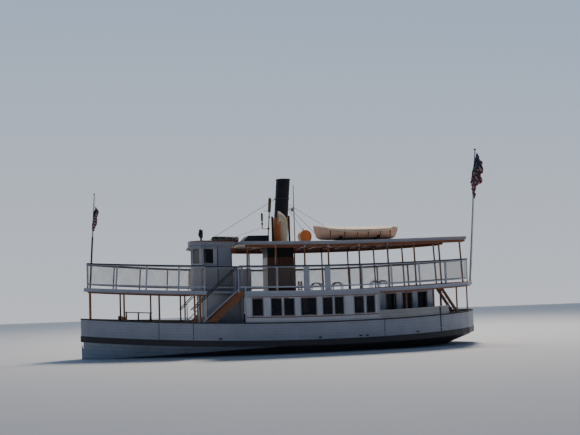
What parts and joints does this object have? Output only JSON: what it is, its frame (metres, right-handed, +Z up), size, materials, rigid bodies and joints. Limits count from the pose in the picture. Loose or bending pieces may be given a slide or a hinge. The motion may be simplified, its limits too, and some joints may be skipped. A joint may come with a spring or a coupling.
{
  "type": "steamboat",
  "caption": "Small two-deck wooden passenger steamboat with a tall funnel, pilot house, canopied upper deck and single screw.",
  "frame": {"origin": "on the centreline amidships, at the water's surface", "axes": "+X forward, +Y to port, +Z up"},
  "size_m": [18.39, 6.292, 10.52],
  "materials": {
    "white_paint": "satin white paint",
    "black_paint": "satin black paint",
    "varnish": "varnished",
    "deck_planks": "matte",
    "black_metal": "satin black",
    "buff_metal": "satin buff",
    "cream_metal": "satin cream",
    "red_metal": "satin red",
    "green_metal": "satin green",
    "bronze": "dull bronze",
    "iron": "dark",
    "cover": "cream paint under a canvas cover",
    "flag_cloth": "woven flag cloth"
  },
  "bodies": {
    "boat": {"hull": "black_paint", "guard": "black_paint", "main_deck": "deck_planks", "bulwark": "white_paint", "bulwark_cap": "black_paint", "aft_boards_port": "white_paint", "aft_boards_starboard": "white_paint", "deckhouse": "white_paint", "fore_cabin": "white_paint", "aft_saloon": "white_paint", "upper_deck": "white_paint", "fore_posts": "varnish", "aft_posts": "varnish", "stair_port": "varnish", "stair_starboard": "varnish", "aft_ladder": "varnish", "rail_port": "white_paint", "rail_starboard": "white_paint", "rail_bow": "white_paint", "rail_stern": "white_paint", "canopy": "white_paint", "canopy_posts_port": "varnish", "canopy_posts_starboard": "varnish", "pilot_house": "white_paint", "pilot_roof": "white_paint", "wheel_pedestal": "varnish", "funnel": "black_metal", "funnel_casing": "buff_metal", "funnel_trunk": "black_metal", "boiler": "iron", "engine": "iron", "cowl_collar": "cream_metal", "round_ventilator": "cream_metal", "steam_pipe_1": "black_metal", "steam_pipe_2": "black_metal", "whistles": "bronze", "skylight": "black_metal", "life_raft": "black_metal", "roof_lamp": "black_metal", "port_lantern": "red_metal", "starboard_lantern": "green_metal", "signal_mast": "white_paint", "lifeboat": "cover", "lifeboat_chocks": "black_paint", "jackstaff": "white_paint", "jack": "flag_cloth", "ensign_staff": "white_paint", "ensign": "flag_cloth", "bow_bitts": "varnish", "stern_bitts": "varnish", "deck_locker": "white_paint"},
    "rudder_body": {"rudder": "black_paint"},
    "propeller_body": {"propeller": "bronze"},
    "wheel_body": {"steering_wheel": "varnish"},
    "cowl_body": {"cowl_ventilator": "cream_metal"},
    "fore_cabin_door_body": {"fore_cabin_door": "varnish"},
    "saloon_door_body": {"saloon_door": "varnish"},
    "pilot_door_port_body": {"pilot_door_port": "white_paint"},
    "pilot_door_starboard_body": {"pilot_door_starboard": "white_paint"}
  },
  "joints": [
    {"name": "rudder_turn", "type": "hinge", "parent": "boat", "child": "rudder_body", "pos_m": [-7.425, 0, -0.8], "axis": [0, 0, 1], "range_deg": [-35, 35]},
    {"name": "wheel_turn", "type": "hinge", "parent": "boat", "child": "wheel_body", "pos_m": [3.78, 0, 3.673], "axis": [1, 0, 0], "range_deg": [-360, 360]},
    {"name": "propeller_spin", "type": "hinge", "parent": "boat", "child": "propeller_body", "pos_m": [-6.95, 0, -0.88], "axis": [1, 0, 0], "continuous": true},
    {"name": "cowl_turn", "type": "hinge", "parent": "boat", "child": "cowl_body", "pos_m": [0.1, 0.85, 5], "axis": [0, 0, 1], "continuous": true},
    {"name": "fore_cabin_door_swing", "type": "hinge", "parent": "boat", "child": "fore_cabin_door_body", "pos_m": [3.648, -0.3577, 1.5], "axis": [0, 0, 1], "range_deg": [-90, 0]},
    {"name": "saloon_door_swing", "type": "hinge", "parent": "boat", "child": "saloon_door_body", "pos_m": [-6.198, -0.3577, 1.5], "axis": [0, 0, 1], "range_deg": [0, 90]},
    {"name": "pilot_door_port_swing", "type": "hinge", "parent": "boat", "child": "pilot_door_port_body", "pos_m": [3.05, 1.048, 3.5], "axis": [0, 0, 1], "range_deg": [-90, 0]},
    {"name": "pilot_door_starboard_swing", "type": "hinge", "parent": "boat", "child": "pilot_door_starboard_body", "pos_m": [3.05, -1.048, 3.5], "axis": [0, 0, 1], "range_deg": [0, 90]}
  ],
  "couplings": [
    {"joint": "wheel_turn", "follows": "rudder_turn", "ratio": 10.286}
  ]
}
